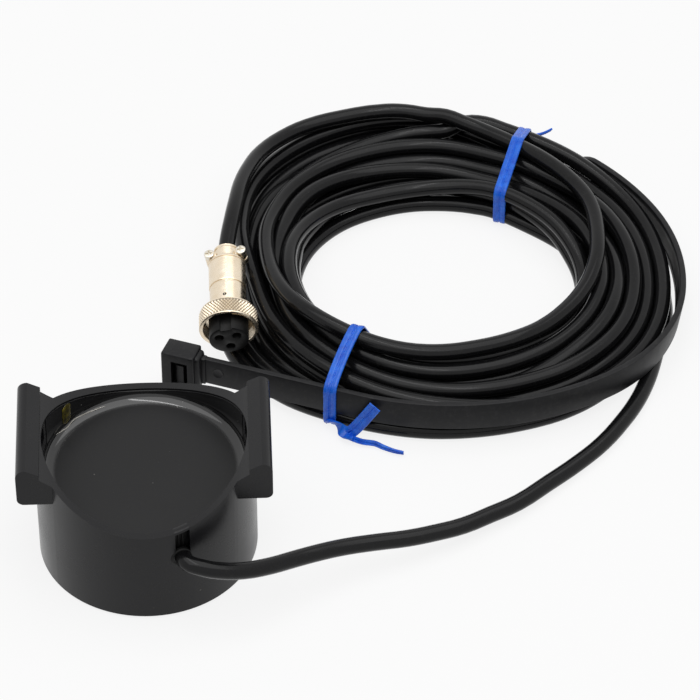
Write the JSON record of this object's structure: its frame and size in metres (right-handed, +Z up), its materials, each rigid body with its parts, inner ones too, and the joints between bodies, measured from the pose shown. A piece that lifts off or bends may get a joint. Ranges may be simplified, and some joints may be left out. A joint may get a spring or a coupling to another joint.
{
  "type": "sonar transducer",
  "caption": "Round potted sonar puck with a saddle rim and two ears for a motor barrel, coiled cable, knurled locking plug, ribbon ties and a loose mounting strap.",
  "frame": {"origin": "centre of the sounding face, the flat underside of the cup", "axes": "+Z up out of the sounding face's back towards the saddle, Y along the motor barrel, +X to the side that the cable leaves by"},
  "size_m": [0.1944, 0.2112, 0.0451],
  "materials": {
    "housing_plastic": "satin moulded black plastic",
    "potting_resin": "cast black epoxy, glossy edge",
    "piezo_ceramic": "silvered ceramic",
    "cork": "cork",
    "red_insulation": "wire insulation",
    "black_insulation": "wire insulation",
    "solder": "solder",
    "cable_jacket": "semi-gloss extruded jacket",
    "nickel_plate": "nickel plate",
    "black_phenolic": "moulded phenolic",
    "contact_metal": "plated brass",
    "screw_steel": "plated steel",
    "strap_nylon": "moulded black nylon",
    "blue_ribbon": "blue plastic ribbon with wire cores"
  },
  "bodies": {
    "transducer": {"housing": "housing_plastic", "potting": "potting_resin", "piezo_disc": "piezo_ceramic", "cork_sleeve": "cork", "cork_backing": "cork", "hot_lead": "red_insulation", "ground_lead": "black_insulation", "solder_joints": "solder", "cable_lead": "cable_jacket", "cable_coil": "cable_jacket", "cable_tail": "cable_jacket", "plug_shell": "nickel_plate", "plug_insert": "black_phenolic", "contact_sockets": "contact_metal", "shell_screw": "screw_steel", "clamp_bar": "nickel_plate", "clamp_screws": "screw_steel", "plug_leads": "red_insulation", "mounting_strap": "strap_nylon", "tie_front": "blue_ribbon", "tie_rear": "blue_ribbon"},
    "coupling": {"coupling_ring": "nickel_plate"}
  },
  "joints": [
    {"name": "coupling_spin", "type": "hinge", "parent": "transducer", "child": "coupling", "pos_m": [0.024, 0.07316, 0.01391], "axis": [0, -0.9866, -0.1633], "continuous": true}
  ]
}
